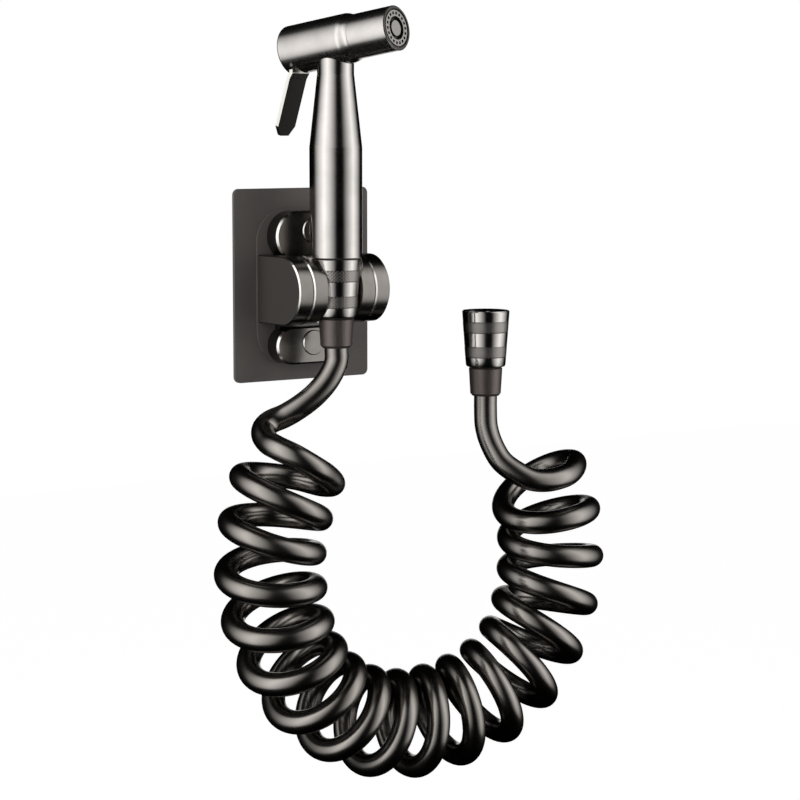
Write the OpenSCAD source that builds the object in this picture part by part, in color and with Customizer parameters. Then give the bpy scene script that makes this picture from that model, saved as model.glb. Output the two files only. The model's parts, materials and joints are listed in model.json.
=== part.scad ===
// Hand-held bath sprayer with its wall holder and its coiled hose. Millimetres, +Z up, +Y into the wall.
// The origin is on the wall face, level with the pivot of the cradle that the sprayer hangs in.

/* [Wall plate] */
// Width of the adhesive wall plate
plate_w = 76; // [72:1:110]
// Height of the adhesive wall plate
plate_h = 92.5; // [88:0.5:130]
// Thickness of the plate
plate_t = 1.8; // [1.6:0.1:5]
// Radius of the plate's corners
plate_corner = 3; // [1:0.5:12]
// Thickness of the adhesive pad behind the plate
adhesive_t = 0.8; // [0.5:0.1:3]
// Width of the raised field that carries the bracket
field_w = 52; // [44:0.5:56]
// Height of the raised field
field_h = 75; // [70:0.5:84]
// Height of the raised field above the plate
field_t = 1; // [0.4:0.1:3]

/* [Bracket] */
// Width of the two screw lobes
lobe_w = 41; // [36:0.5:46]
// Height of the upper lobe
upper_lobe_h = 24; // [20:0.5:26]
// Height of the lower lobe
lower_lobe_h = 18; // [16:0.5:19]
// How far the lobes stand out from the raised field
lobe_t = 9; // [7.5:0.5:10]
// Distance between the two screws
screw_pitch = 53.8; // [50:0.2:60]
// Diameter of the fixing screws
screw_d = 4; // [3:0.5:5]
// Diameter of the round caps over the screws
screw_cap_d = 12.2; // [11:0.2:14]

/* [Pivot and cradle] */
// Diameter of the ears and of the cradle barrel between them
disc_d = 32.6; // [31:0.2:36]
// Width of each ear along the pivot
ear_w = 8; // [6:0.5:12]
// Width of the cradle along the pivot
cradle_w = 34.6; // [33:0.2:44]
// Distance of the pivot from the wall
pivot_y = 24.5; // [24:0.5:32]
// Diameter of the pivot pins
pivot_pin_d = 8; // [5:0.5:8]
// Distance of the seat's axis ahead of the pivot
seat_lead = 8; // [6:0.5:9]
// Width of the mouth that the hose passes through
mouth_w = 19.6; // [14:0.2:20]

/* [Hose nuts] */
// Height of a hose nut
nut_h = 28; // [24:0.5:34]
// Diameter of a nut at its wide end
nut_top_d = 23.6; // [23:0.2:25]
// Diameter of a nut at its narrow end
nut_low_d = 19.6; // [18.6:0.2:21]
// Outside diameter of the pipe thread that the nut takes
thread_d = 20.9; // [20.5:0.05:21]
// Diameter of the nut's bore round the swivel neck
neck_bore_d = 13; // [10:0.5:14]
// Length of the crimped collar below the nut
collar_h = 14; // [8:0.5:24]
// Diameter of the collar next to the nut
collar_top_d = 16.6; // [15:0.2:18]
// Diameter of the collar at the hose
collar_low_d = 15.2; // [14:0.2:16.6]

/* [Handset] */
// Diameter of the handle
handle_d = 25; // [24:0.5:34]
// Wall of the handle tube
handle_wall = 2; // [1.2:0.1:2.2]
// Diameter of the handle's neck under the barrel
neck_d = 17.4; // [16:0.2:20]
// Length of the handle's straight part
grip_h = 52; // [30:1:54]
// Distance from the nut's top to the barrel's axis
handset_h = 101.8; // [98:0.2:150]
// Turn of the handset about its own axis
yaw = 20.5; // [0:0.5:45]

/* [Barrel] */
// Upward tilt of the barrel
barrel_tilt = 9; // [0:0.5:15]
// Diameter of the barrel's rear part
rear_d = 23.5; // [22.5:0.5:30]
// Diameter of the barrel's front sleeve
front_d = 21; // [20.6:0.2:23]
// Length of the barrel behind the handle's axis
rear_l = 26.5; // [26:0.5:34]
// Length of the barrel ahead of the handle's axis
front_l = 35.5; // [34:0.5:60]
// Diameter of the barrel's bore
bore_d = 15; // [14:0.2:15.4]
// Number of spray holes
hole_count = 18; // [8:1:20]
// Width of one square spray hole
hole_w = 1.3; // [0.8:0.1:1.5]
// Diameter of the circle of spray holes
hole_circle_d = 14; // [13.6:0.2:14.4]

/* [Lever] */
// Width of the lever
lever_w = 13.4; // [9:0.2:13.4]
// Thickness of the lever's sheet
lever_t = 1.8; // [1:0.1:1.8]
// Length of the lever's blade below its bends
blade_l = 28.2; // [18:0.2:40]
// Diameter of the lever's pin
lever_pin_d = 2; // [1.5:0.1:2.2]

/* [Hose] */
// Outside diameter of the hose
hose_d = 11.5; // [9:0.5:12]
// Outside diameter of the coil
coil_d = 52; // [44:1:54]

/* [Hidden] */
$fn = 96;

// Clearances
fit = 0.04;            // pieces pressed or screwed together, on the diameter
run = 0.12;            // a pin or shaft that turns or slides, on the diameter
free = 0.3;            // faces of two moving pieces
face_gap = 0.25;       // flat faces that slide past each other
cut = 1;               // how far a cutting solid passes the face it cuts

// Wall plate and bracket
plate_z = 1.4;                                   // centre of the plate above the pivot
adhesive_margin = 2;                             // plate left bare round the adhesive
field_corner = 16;
plate_front = adhesive_t + plate_t;
field_front = plate_front + field_t;
lobe_front = field_front + lobe_t;
screw_z = 0.6;                                   // middle of the screw pitch above the pivot
lobe_chamfer = 0.9;
upper_lobe_z = screw_z + screw_pitch / 2 - 2.6;
lower_lobe_z = screw_z - screw_pitch / 2 - 1.2;
hub_t = pivot_y - disc_d / 2 - field_front - 0.5;
hub_w = cradle_w - 2;
ear_in = cradle_w / 2 + face_gap;
ear_out = ear_in + ear_w;
disc_chamfer = 0.6;
cap_sink = 2.4;                                  // depth of the cap's recess
cap_proud = 0.7;
screw_head_d = 2 * screw_d;
screw_head_h = 0.65 * screw_d;
head_seat = lobe_front - cap_sink - screw_head_h - 0.6;
screw_end = adhesive_t + 0.5;

// Nut, seat and cradle
nut_top = 15;                                    // top of the hung nut above the pivot
nut_low = nut_top - nut_h;
seat_y = pivot_y + seat_lead;
nut_slope = (nut_top_d - nut_low_d) / 2 / nut_h; // growth of the nut's radius with height
funnel_h = 10;
funnel_spread = 4;                               // growth of the seat's radius over the funnel
pin_out = ear_out - 1.5;
pin_in = cradle_w / 2 - 4.4;
washer_d = 14.6;
washer_t = 1.3;
washer_clear = 0.15;

// Inside of a nut, measured up from its narrow end
shoulder_z = 14;                                 // floor that the swivel flange rests on
flange_t = 2.2;
flange_d = thread_d - 1.2;
seal_t = 2;
thread_from = shoulder_z + flange_t + seal_t;
seal_gap = 0.5;                                  // between the washer and the handle's adapter
seal_bore_d = flange_d + 0.5;                    // plain bore round the flange and the washer
bore_chamfer = 0.8;
waterway_d = 7;
shank_d = 10;
swivel_gap = 0.3;                                // between the nut and the collar
band_depth = 0.2;
bands = [0.18, 0.37, 0.62, 0.81];                // ends of the knurled bands, as shares of the nut

// Handset
barrel_z = nut_top + handset_h;
handle_low = nut_top + 0.3;
neck_z = barrel_z - rear_d / 2 - 0.5;
handle_bore = handle_d - 2 * handle_wall;
neck_bore = neck_d - 4;
adapter_h = 12;                                  // depth of the adapter inside the handle
adapter_bore = 12;
spigot_h = 8;
inlet_d = 8.4;

// Barrel, measured forward from the handle's axis along its own axis
cap_t = 1.2;
rim_r = 1.8;
step_from = 7.5;
step_to = 14;
sleeve_wall = 1.2;
joint_d = front_d - 2 * sleeve_wall;
joint_l = 6.5;
ring_wire = 1.2;                                 // section of the joint's rubber ring
chamber_d = 17;
face_sink = 0.2;
face_t = 3;
face_flange_t = 1.4;
face_flange_d = 18.4;
face_d = 16.7;
face_recess_d = 11;
face_recess = 1.9;
plug_sink = 0.2;                                 // the plug's face below the disc's
plug_d = 7.6;
plug_shank_d = 3;
gland_from = -14.2;
gland_to = -9.5;
gland_ring_wire = 1.5;
seat_from = 5.4;
seat_to = 12;
seat_lip = 1;
orifice_d = 7;
rod_d = 4;
rod_tail_d = 3.4;
rod_shoulder = -15.2;
head_d = 10.4;
head_from = 1.5;
head_t = 2;
valve_disc_t = 1.8;

// Lever, in the barrel's side view as [forward, up]
pin_at = [-21, -7.5];
knuckle_d = 3.8;
knuckle_gap = 0.3;
bends = [[-22.9, -9], [-23.2, 0.75 - rear_d / 2], [-25.2, -1.45 - rear_d / 2]];
blade_lean = 26.2;
tab_lean = 26;
tab_w = 8;
tab_l = 12.8;
tab_slot = [5.4, 11];                            // ends of the rod's slot along the tab
tab_slot_w = 4;
blade_corner = [3.6, 4.6];                       // cut corner, across and along the blade
slot_front = -18.8;
cross_pin_d = 1.8;
cross_pin_at = pin_at.x - pin_at.y * tan(tab_lean) - (lever_t / 2 + cross_pin_d / 2 + free) / cos(tab_lean);
cross_pin_l = 7;

// Valve spring
spring_wire = 0.9;
spring_mean_d = 8;
spring_turns = 5;
spring_from = gland_to + spring_wire / 2;
spring_to = head_from - spring_wire / 2;

// Hose: the coil hangs in a U, an arc with a straight arm on its left side
hose_y = seat_y;
u_centre = [47, -135];
u_radius = 83.5;
u_from = 165;
u_turn = 222;
arm_l = 44.5;
supply_x = 88.5;
supply_top = -13.5;
arm_dir = [sin(u_from), -cos(u_from)];
arm_low = u_centre + u_radius * [cos(u_from), sin(u_from)];
lead_dir = [-sin(u_from + u_turn), cos(u_from + u_turn)];
hose_top = nut_low - swivel_gap - collar_h;
supply_low = supply_top - nut_h - swivel_gap - collar_h;
tail_start = [0, -hose_y, hose_top];
tail_route = [for (step = [[0, 0, 0], [0, 0, -6.2], [-3.5, 0.5, -13.7], [-10, 2.5, -21.7], [-18, 5.5, -27.2],
    [-26, 9, -30.7], [-32, 11.5, -33.2], [-34.7, 12.5, -36.2], [-35.5, 12.5, -39.2]]) tail_start + step];
lead_start = [supply_x, -hose_y, supply_low];
lead_route = [for (step = [[0, 0, 0], [0, -0.5, -6.2], [0, -3.5, -16.2], [2, -8, -27.2],
    [6.5, -12, -37.7], [13.5, -13.5, -45.2], [17.5, -11.5, -49.1]]) lead_start + step];
hose_sides = 12;

// Places a child on the nut's axis, turned as the handset is turned
module at_handset() {
    translate([0, -seat_y, 0]) rotate([0, 0, yaw]) children();
}

// Places a child on the barrel: its +Z points forward along the barrel and its +Y up
module at_barrel() {
    at_handset() translate([0, 0, barrel_z]) rotate([90 - barrel_tilt, 0, 0]) children();
}

// Lays a child's +Z along the pivot, which runs along X
module at_pivot(y = pivot_y) {
    translate([0, -y, 0]) rotate([0, 90, 0]) children();
}

// Stands a child's +Z out from the wall, at a height and a distance from the wall
module off_wall(distance, z = 0) {
    translate([0, -distance, z]) rotate([90, 0, 0]) children();
}

// Copies a child to both sides of the X plane
module both_sides() {
    children();
    mirror([1, 0, 0]) children();
}

// Flat plate with round corners
module round_plate(w, h, t, r) {
    linear_extrude(t) {
        square([w - 2 * r, h], center = true);
        square([w, h - 2 * r], center = true);
        for (x = [-1, 1], y = [-1, 1]) translate([x * (w / 2 - r), y * (h / 2 - r)]) circle(r);
    }
}

// Block with round ends and a chamfered front edge
module lobe(w, h, t, chamfer) {
    both_sides() translate([(w - h) / 2, 0, 0]) {
        cylinder(d = h, h = t - chamfer);
        translate([0, 0, t - chamfer]) cylinder(d1 = h, d2 = h - 2 * chamfer, h = chamfer);
    }
    rotate([90, 0, 90]) linear_extrude(w - h, center = true)
        polygon([[-h / 2, 0], [h / 2, 0], [h / 2, t - chamfer], [h / 2 - chamfer, t],
            [chamfer - h / 2, t], [-h / 2, t - chamfer]]);
}

// Disc with both rims chamfered
module chamfered_disc(d, h, chamfer) {
    rotate_extrude() polygon([[0, 0], [d / 2 - chamfer, 0], [d / 2, chamfer], [d / 2, h - chamfer],
        [d / 2 - chamfer, h], [0, h]]);
}

// Tube with flat ends
module tube(d, bore, h) {
    difference() {
        cylinder(d = d, h = h);
        translate([0, 0, -cut]) cylinder(d = bore, h = h + 2 * cut);
    }
}

// Rubber ring of a round wire that just fits inside an outer diameter
module ring(d, wire) {
    rotate_extrude() translate([(d - wire) / 2, 0]) circle(d = wire, $fn = 32);
}

function unit(v) = v / norm(v);
function ring_at(p, dir, r, sides) =
    let (u = unit(cross(dir, [0, 1, 0.001])), v = cross(unit(dir), u))
    [for (i = [0 : sides - 1]) p + r * (cos(360 * i / sides) * u + sin(360 * i / sides) * v)];
function direction(route, i, first, last) =
    i == 0 ? first : i == len(route) - 1 ? last : unit(route[i + 1] - route[i]) + unit(route[i] - route[i - 1]);

// Round tube swept along a route, its end faces square to two given directions
module swept_tube(route, d, sides, first, last) {
    n = len(route);
    points = [for (i = [0 : n - 1]) each ring_at(route[i], direction(route, i, first, last), d / 2, sides)];
    walls = [for (i = [0 : n - 2], k = [0 : sides - 1])
        let (a = i * sides + k, b = i * sides + (k + 1) % sides) [a, a + sides, b + sides, b]];
    ends = [[for (k = [0 : sides - 1]) k], [for (k = [sides - 1 : -1 : 0]) (n - 1) * sides + k]];
    polyhedron(points, concat(walls, ends));
}

module adhesive_pad() {
    color("gainsboro") off_wall(0, plate_z)
        round_plate(plate_w - 2 * adhesive_margin, plate_h - 2 * adhesive_margin, adhesive_t, plate_corner);
}

module wall_plate() {
    color("#4a4745") difference() {
        union() {
            off_wall(adhesive_t, plate_z) round_plate(plate_w, plate_h, plate_t, plate_corner);
            off_wall(plate_front, screw_z) round_plate(field_w, field_h, field_t, field_corner);
        }
        for (side = [-1, 1]) off_wall(screw_end - 0.2, screw_z + side * screw_pitch / 2)
            cylinder(d = screw_d + fit, h = field_front);
    }
}

// Disc at one end of the pivot, with a web as high as itself that runs back to the field
module ear() {
    edge = disc_d / 2 - disc_chamfer;
    at_pivot() translate([0, 0, ear_in]) chamfered_disc(disc_d, ear_w, disc_chamfer);
    translate([ear_in, -field_front, 0]) rotate([90, 0, 0]) linear_extrude(pivot_y - field_front)
        polygon([[0, -edge], [disc_chamfer, -disc_d / 2], [ear_w - disc_chamfer, -disc_d / 2], [ear_w, -edge],
            [ear_w, edge], [ear_w - disc_chamfer, disc_d / 2], [disc_chamfer, disc_d / 2], [0, edge]]);
}

// The fork that the cradle turns in: two screw lobes, a thin hub and an ear at each side
module bracket() {
    color("#55514f") difference() {
        union() {
            off_wall(field_front, upper_lobe_z) lobe(lobe_w, upper_lobe_h, lobe_t, lobe_chamfer);
            off_wall(field_front, lower_lobe_z) lobe(lobe_w, lower_lobe_h, lobe_t, lobe_chamfer);
            translate([-ear_in - cut, -field_front - hub_t, cut - disc_d / 2])
                cube([2 * (ear_in + cut), hub_t, disc_d - 2 * cut]);
            translate([-hub_w / 2, -field_front - hub_t, lower_lobe_z])
                cube([hub_w, hub_t, upper_lobe_z - lower_lobe_z]);
            both_sides() ear();
        }
        at_pivot() cylinder(d = disc_d + 2 * free, h = 2 * ear_in, center = true);
        both_sides() at_pivot() translate([0, 0, ear_in - cut])
            cylinder(d = pivot_pin_d + fit, h = pin_out - ear_in + cut);
        for (side = [-1, 1]) {
            z = screw_z + side * screw_pitch / 2;
            off_wall(lobe_front - cap_sink, z) cylinder(d = screw_cap_d + fit, h = cap_sink + cut);
            off_wall(head_seat, z) cylinder(d = screw_head_d + free, h = lobe_front - head_seat);
            off_wall(field_front - cut, z) cylinder(d = screw_d + free, h = lobe_t + cut);
        }
    }
}

module bracket_screws() {
    color("silver") for (side = [-1, 1]) off_wall(screw_end, screw_z + side * screw_pitch / 2) {
        cylinder(d = screw_d, h = head_seat - screw_end + 0.2);
        translate([0, 0, head_seat - screw_end]) difference() {
            chamfered_disc(screw_head_d, screw_head_h, 0.4);
            translate([0, 0, screw_head_h - 1.2]) cylinder(d = screw_d * 0.6, h = 2, $fn = 6);
        }
    }
}

module screw_caps() {
    color("#8d8a88") for (side = [-1, 1]) off_wall(lobe_front - cap_sink, screw_z + side * screw_pitch / 2)
        rotate_extrude() polygon([[0, 0], [screw_cap_d / 2, 0], [screw_cap_d / 2, cap_sink + cap_proud - 0.4],
            [screw_cap_d / 2 - 0.4, cap_sink + cap_proud], [0, cap_sink + cap_proud]]);
}

module pivot_pins() {
    color("silver") both_sides() at_pivot() translate([0, 0, pin_in])
        chamfered_disc(pivot_pin_d, pin_out - pin_in - 0.1, 0.4);
}

// Barrel that turns between the ears, with a cone for the nut and a mouth for the hose
module cradle() {
    color("#55514f") difference() {
        at_pivot() translate([0, 0, -cradle_w / 2]) chamfered_disc(disc_d, cradle_w, disc_chamfer);
        translate([0, -seat_y, nut_low - funnel_h]) cylinder(
            r1 = nut_low_d / 2 + free - funnel_h * nut_slope,
            r2 = nut_top_d / 2 + free + funnel_h * nut_slope, h = nut_h + 2 * funnel_h);
        translate([0, -seat_y, disc_d / 2 - funnel_h]) cylinder(
            r1 = nut_low_d / 2 + free + (disc_d / 2 - funnel_h - nut_low) * nut_slope,
            r2 = nut_top_d / 2 + funnel_spread, h = funnel_h + 0.01);
        translate([-mouth_w / 2, -seat_y - disc_d, -disc_d]) cube([mouth_w, disc_d, 2 * disc_d]);
        both_sides() at_pivot() {
            translate([0, 0, pin_in - 0.3]) cylinder(d = pivot_pin_d + run, h = cradle_w);
            translate([0, 0, cradle_w / 2 + washer_clear / 2 - washer_t]) cylinder(d = washer_d + free, h = cradle_w);
        }
    }
}

module friction_washers() {
    color("dimgray") both_sides() at_pivot() translate([0, 0, cradle_w / 2 + washer_clear / 2 - washer_t])
        tube(washer_d, pivot_pin_d + 2 * free, washer_t);
}

// Polished tube: a straight grip that tapers to the neck, cut to sit on the barrel
module handle_tube() {
    color("#8c8886") difference() {
        at_handset() rotate_extrude() polygon([[handle_bore / 2, handle_low], [handle_d / 2 - 0.4, handle_low],
            [handle_d / 2, handle_low + 0.4], [handle_d / 2, handle_low + grip_h], [neck_d / 2, neck_z - 3],
            [neck_d / 2, barrel_z], [neck_bore / 2, barrel_z], [neck_bore / 2, neck_z - 3],
            [handle_bore / 2, handle_low + grip_h - 2]]);
        at_barrel() cylinder(d = rear_d + fit, h = 3 * neck_d, center = true);
    }
}

module inlet_adapter() {
    thread_l = handle_low - nut_low - thread_from - seal_gap;
    color("goldenrod") at_handset() translate([0, 0, handle_low - thread_l]) difference() {
        union() {
            cylinder(d = thread_d - fit, h = thread_l);
            translate([0, 0, thread_l]) cylinder(d = handle_bore - fit, h = adapter_h);
        }
        translate([0, 0, -cut]) cylinder(d = adapter_bore, h = nut_h + adapter_h);
    }
}

// Valve housing: the rear of the barrel, with the lever's slot below and the handle's spigot
module barrel_body() {
    color("#6b6765") difference() {
        union() {
            at_barrel() rotate_extrude() polygon([[0, cap_t - rear_l], [rear_d / 2, cap_t - rear_l],
                [rear_d / 2, step_from], [front_d / 2, step_to], [joint_d / 2 - fit / 2, step_to],
                [joint_d / 2 - fit / 2, step_to + joint_l], [0, step_to + joint_l]]);
            at_handset() translate([0, 0, barrel_z - rear_d / 2 - spigot_h])
                cylinder(d = neck_bore - fit, h = rear_d / 2 + spigot_h - bore_d / 4);
        }
        at_barrel() {
            translate([0, 0, -rear_l]) cylinder(d = bore_d, h = rear_l + step_to + joint_l + cut);
            translate([-lever_w / 2 - knuckle_gap, -rear_d, cap_t - rear_l - cut])
                cube([lever_w + 2 * knuckle_gap, rear_d + pin_at.y + knuckle_d / 2 + knuckle_gap,
                    slot_front + rear_l - cap_t + cut]);
            translate([0, pin_at.y, pin_at.x]) rotate([0, 90, 0])
                cylinder(d = lever_pin_d + fit, h = rear_d, center = true);
            translate([0, 0, step_to + joint_l / 2]) difference() {
                cylinder(d = joint_d + cut, h = ring_wire, center = true);
                cylinder(d = joint_d - 2 * ring_wire, h = 2 * ring_wire, center = true);
            }
        }
        at_handset() translate([0, 0, barrel_z - rear_d]) cylinder(d = inlet_d, h = rear_d);
    }
}

module rear_cap() {
    rim = [for (a = [0 : 15 : 90]) [rear_d / 2 - rim_r * (1 - cos(a)), cap_t - rear_l - cap_t * sin(a)]];
    color("#6b6765") at_barrel() difference() {
        union() {
            rotate_extrude() polygon(concat([[0, cap_t - rear_l]], rim, [[0, -rear_l]]));
            translate([0, 0, cap_t - rear_l - 0.01]) tube(bore_d - fit, bore_d - 2, 1.2);
        }
        translate([-lever_w / 2 - knuckle_gap, -rear_d, cap_t - rear_l])
            cube([lever_w + 2 * knuckle_gap, rear_d + pin_at.y + knuckle_d / 2 + knuckle_gap, cap_t + 2]);
    }
}

module nozzle_sleeve() {
    face_from = front_l - face_sink - face_t;
    color("#6b6765") at_barrel() rotate_extrude() polygon([[joint_d / 2, step_to], [front_d / 2, step_to],
        [front_d / 2, front_l - 0.4], [front_d / 2 - 0.4, front_l], [face_flange_d / 2 + fit / 2, front_l],
        [face_flange_d / 2 + fit / 2, face_from], [chamber_d / 2, face_from],
        [chamber_d / 2, step_to + joint_l], [joint_d / 2, step_to + joint_l]]);
}

module sleeve_ring() {
    color("#222222") at_barrel() translate([0, 0, step_to + joint_l / 2]) ring(joint_d - fit, ring_wire - fit);
}

// Spray disc: square holes round a recess that holds the centre plug
module spray_face() {
    color("#9a9795") at_barrel() translate([0, 0, front_l - face_sink - face_t]) difference() {
        union() {
            cylinder(d = face_flange_d, h = face_flange_t);
            cylinder(d = face_d, h = face_t);
        }
        translate([0, 0, face_t - face_recess]) cylinder(d = face_recess_d, h = face_recess + cut);
        translate([0, 0, -cut]) cylinder(d = plug_shank_d + fit, h = face_t + 2 * cut);
        for (i = [0 : hole_count - 1]) rotate([0, 0, 360 * i / hole_count])
            translate([hole_circle_d / 2, 0, 0]) cube([hole_w, hole_w, 4 * face_t], center = true);
    }
}

module face_plug() {
    color("#8d8a88") at_barrel() translate([0, 0, front_l - face_sink - face_recess]) {
        chamfered_disc(plug_d, face_recess - plug_sink, 0.2);
        translate([0, 0, face_recess - face_t - 1.2]) cylinder(d = plug_shank_d, h = face_t - face_recess + 1.3);
    }
}

module valve_seat() {
    color("goldenrod") at_barrel() rotate_extrude() polygon([[orifice_d / 2, seat_from],
        [orifice_d / 2 + seat_lip, seat_from], [orifice_d / 2 + 2 * seat_lip, seat_from + seat_lip],
        [bore_d / 2 - fit / 2, seat_from + seat_lip], [bore_d / 2 - fit / 2, seat_to], [orifice_d / 2, seat_to]]);
}

module rod_gland() {
    groove = (gland_from + gland_to) / 2;
    half = gland_ring_wire / 2;
    color("goldenrod") at_barrel() rotate_extrude() polygon([[rod_d / 2 + run / 2, gland_from],
        [bore_d / 2 - fit / 2, gland_from], [bore_d / 2 - fit / 2, gland_to], [rod_d / 2 + run / 2, gland_to],
        [rod_d / 2 + run / 2, groove + half], [rod_d / 2 + 2 * half + run / 2, groove + half],
        [rod_d / 2 + 2 * half + run / 2, groove - half], [rod_d / 2 + run / 2, groove - half]]);
}

module gland_ring() {
    color("#222222") at_barrel() translate([0, 0, (gland_from + gland_to) / 2])
        ring(rod_d + run + 2 * gland_ring_wire - fit, gland_ring_wire - fit);
}

module lever_pin() {
    color("silver") at_barrel() translate([0, pin_at.y, pin_at.x]) rotate([0, 90, 0])
        cylinder(d = lever_pin_d, h = 2 * sqrt(pow(rear_d / 2, 2) - pow(pin_at.y, 2)) - 0.8, center = true);
}

// A nut standing on its narrow end: tapered outside with knurled bands, threaded at its wide end
module nut() {
    outer = [for (i = [0 : 3]) let (z = bands[i] * nut_h, r = nut_low_d / 2 + z * nut_slope, inner = i % 2)
        each (inner == 0 ? [[r, z - band_depth], [r - band_depth, z]] : [[r - band_depth, z], [r, z + band_depth]])];
    rotate_extrude() polygon(concat([[neck_bore_d / 2, 0], [nut_low_d / 2 - 1, 0], [nut_low_d / 2, 1.2]], outer,
        [[nut_top_d / 2 - 0.3, nut_h], [thread_d / 2 + bore_chamfer, nut_h], [thread_d / 2, nut_h - bore_chamfer],
            [thread_d / 2, thread_from], [seal_bore_d / 2, thread_from],
            [seal_bore_d / 2, shoulder_z], [neck_bore_d / 2, shoulder_z]]));
}

// The swivel insert: a flange inside the nut, a neck in its bore and a shank in the collar
module insert() {
    rotate_extrude() polygon([[waterway_d / 2, 2 - swivel_gap - collar_h], [shank_d / 2, 2 - swivel_gap - collar_h],
        [shank_d / 2, -swivel_gap], [neck_bore_d / 2 - run / 2, -swivel_gap],
        [neck_bore_d / 2 - run / 2, shoulder_z + 0.1], [flange_d / 2, shoulder_z + 0.1],
        [flange_d / 2, shoulder_z + flange_t], [waterway_d / 2, shoulder_z + flange_t]]);
}

// The crimped collar, hanging below a nut's narrow end
module collar() {
    rotate_extrude() polygon([[shank_d / 2 + fit / 2, -swivel_gap], [collar_top_d / 2 - 0.5, -swivel_gap],
        [collar_top_d / 2, -swivel_gap - 0.5], [collar_low_d / 2, 1.2 - swivel_gap - collar_h],
        [collar_low_d / 2 - 1, -swivel_gap - collar_h], [shank_d / 2 + fit / 2, -swivel_gap - collar_h]]);
}

module washer() {
    translate([0, 0, shoulder_z + flange_t]) tube(flange_d, adapter_bore - 2, seal_t);
}

// Places a child at the narrow end of the nut in the cradle
module at_hung_nut() {
    translate([0, -seat_y, nut_low]) children();
}

// Places a child at the narrow end of the nut at the supply end of the hose
module at_supply() {
    translate([supply_x, -hose_y, supply_top - nut_h]) children();
}

module handset_nut() { color("#77736f") at_hung_nut() nut(); }
module hose_collar() { color("#4d4846") at_hung_nut() collar(); }
module hose_insert() { color("goldenrod") at_hung_nut() insert(); }
module hose_washer() { color("#222222") at_hung_nut() washer(); }
module supply_nut() { color("#77736f") at_supply() nut(); }
module supply_collar() { color("#4d4846") at_supply() collar(); }
module supply_insert() { color("goldenrod") at_supply() insert(); }
module supply_washer() { color("#222222") at_supply() washer(); }

// Round mesh that lies in the washer, on the insert's flange
module supply_screen() {
    color("silver") at_supply() translate([0, 0, shoulder_z + flange_t]) difference() {
        cylinder(d = adapter_bore - 2 - fit, h = 0.6);
        for (i = [0 : 5]) rotate([0, 0, 60 * i]) {
            translate([1.6, 0, -cut]) cylinder(d = 1, h = 3, $fn = 24);
            translate([3.3, 0, -cut]) cylinder(d = 1, h = 3, $fn = 24);
        }
    }
}

// Bent sheet lever: a slotted tab round the rod, a rolled knuckle on the pin and a blade outside
tip_at = bends[2] - blade_l * [sin(blade_lean), cos(blade_lean)];
lever_line = concat([pin_at], bends, [tip_at]);
function side_of(a, b) = lever_t / 2 * [a.y - b.y, b.x - a.x] / norm(b - a);
function mitre(a, b) = (a + b) * lever_t * lever_t / 2 / ((a + b) * (a + b));
lever_sides = [for (i = [0 : 4])
    let (before = side_of(lever_line[max(i - 1, 0)], lever_line[max(i, 1)]),
        after = side_of(lever_line[min(i, 3)], lever_line[min(i + 1, 4)]))
    mitre(before, after)];
module lever() {
    color("#4d4846") at_barrel() difference() {
        union() {
            rotate([90, 0, 90]) linear_extrude(lever_w, center = true) mirror([1, -1])
                polygon(concat([for (i = [0 : 4]) lever_line[i] + lever_sides[i]],
                    [for (i = [4 : -1 : 0]) lever_line[i] - lever_sides[i]]));
            translate([0, pin_at.y, pin_at.x]) {
                rotate([0, 90, 0]) cylinder(d = knuckle_d, h = lever_w - 0.1, center = true);
                rotate([tab_lean, 0, 0]) difference() {
                    translate([-tab_w / 2, 0, -lever_t / 2]) cube([tab_w, tab_l, lever_t]);
                    translate([-tab_slot_w / 2, tab_slot[0], -lever_t])
                        cube([tab_slot_w, tab_slot[1] - tab_slot[0], 2 * lever_t]);
                }
            }
        }
        translate([0, pin_at.y, pin_at.x]) rotate([0, 90, 0])
            cylinder(d = lever_pin_d + run, h = 2 * lever_w, center = true);
        both_sides() translate([0, tip_at.y, tip_at.x]) rotate([blade_lean, 0, 0])
            linear_extrude(4 * lever_t, center = true) polygon([
                [lever_w / 2 - 2 * blade_corner.x, -blade_corner.y],
                [lever_w / 2 + blade_corner.x, 2 * blade_corner.y],
                [lever_w / 2 + blade_corner.x, -blade_corner.y]]);
    }
}

module valve_rod() {
    tail_end = cross_pin_at - cross_pin_d / 2 - 0.5;
    color("silver") at_barrel() difference() {
        rotate_extrude() polygon([[0, tail_end], [rod_tail_d / 2, tail_end], [rod_tail_d / 2, rod_shoulder],
            [rod_d / 2, rod_shoulder], [rod_d / 2, head_from], [head_d / 2 - 0.5, head_from],
            [head_d / 2, head_from + 0.5], [head_d / 2, head_from + head_t], [0, head_from + head_t]]);
        translate([0, 0, cross_pin_at]) rotate([0, 90, 0]) cylinder(d = cross_pin_d + fit, h = rod_d, center = true);
    }
}

module valve_disc() {
    color("#222222") at_barrel() translate([0, 0, head_from + head_t]) cylinder(d = head_d, h = valve_disc_t);
}

module rod_cross_pin() {
    color("silver") at_barrel() translate([0, 0, cross_pin_at]) rotate([0, 90, 0])
        cylinder(d = cross_pin_d, h = cross_pin_l, center = true);
}

module valve_spring() {
    steps = 14 * spring_turns;
    route = [for (i = [0 : steps]) let (a = 360 * spring_turns * i / steps)
        [spring_mean_d / 2 * cos(a), spring_mean_d / 2 * sin(a), spring_from + (spring_to - spring_from) * i / steps]];
    color("silver") at_barrel() swept_tube(route, spring_wire, 6, route[1] - route[0], route[steps] - route[steps - 1]);
}

module hose_tail() {
    color("#3a3736") swept_tube(tail_route, hose_d, hose_sides, [0, 0, -1], [-arm_dir.x, 0, -arm_dir.y]);
}

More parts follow.
